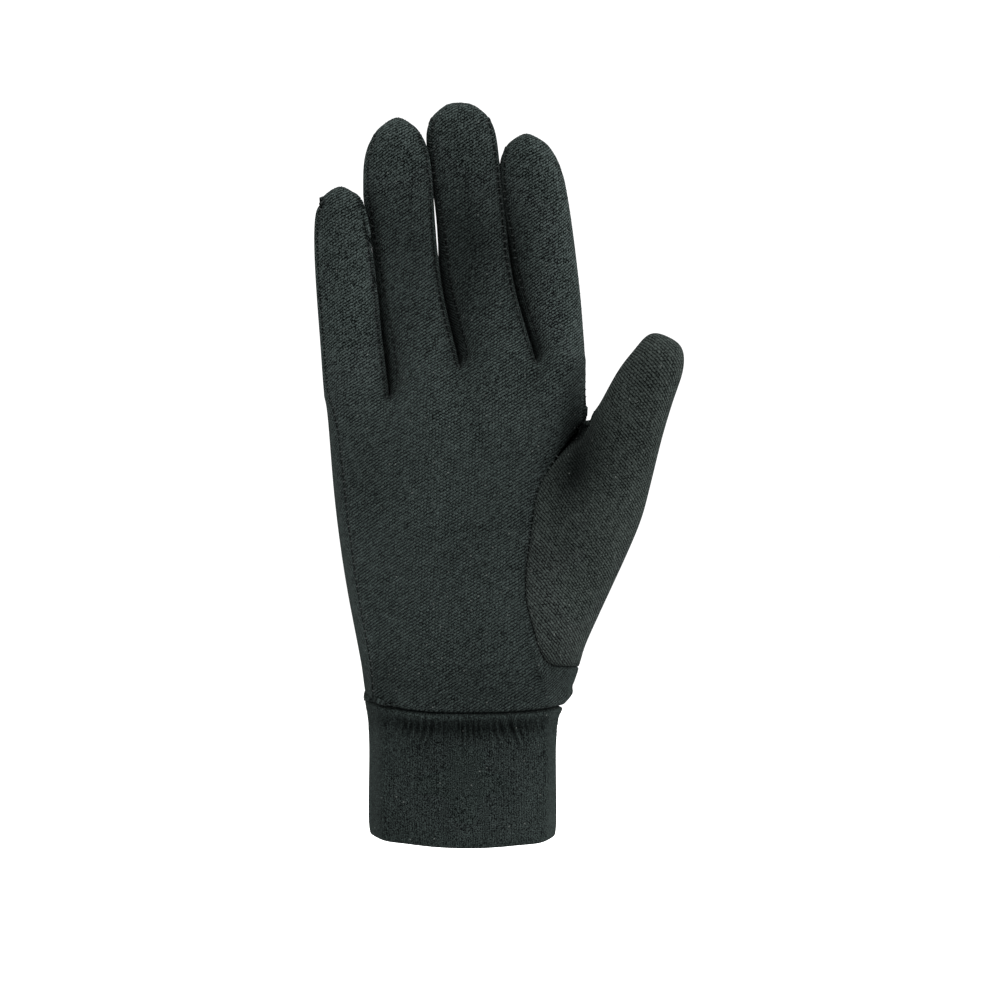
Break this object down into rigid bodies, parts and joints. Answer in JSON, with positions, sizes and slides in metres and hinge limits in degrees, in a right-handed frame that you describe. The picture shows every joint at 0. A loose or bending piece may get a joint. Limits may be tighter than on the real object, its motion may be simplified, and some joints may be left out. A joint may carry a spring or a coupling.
{
  "type": "glove liner",
  "caption": "Thin knit glove liner for a right hand in its worn form: palm and back panels, strips between the fingers, a set-in thumb and a doubled cuff.",
  "frame": {"origin": "middle of the cuff's open end", "axes": "+Z from the wrist towards the fingertips, -Y out of the palm, +X towards the thumb's side"},
  "size_m": [0.1174, 0.0428, 0.2369],
  "materials": {
    "knit": "matte fine jersey knit, greenish black",
    "cuff_knit": "matte fine jersey knit, doubled, greenish black"
  },
  "bodies": {
    "root": {"palm": "knit", "back": "knit", "fourchette_little_ring": "knit", "fourchette_ring_middle": "knit", "fourchette_middle_index": "knit", "thumb": "knit", "cuff": "cuff_knit"}
  },
  "joints": []
}
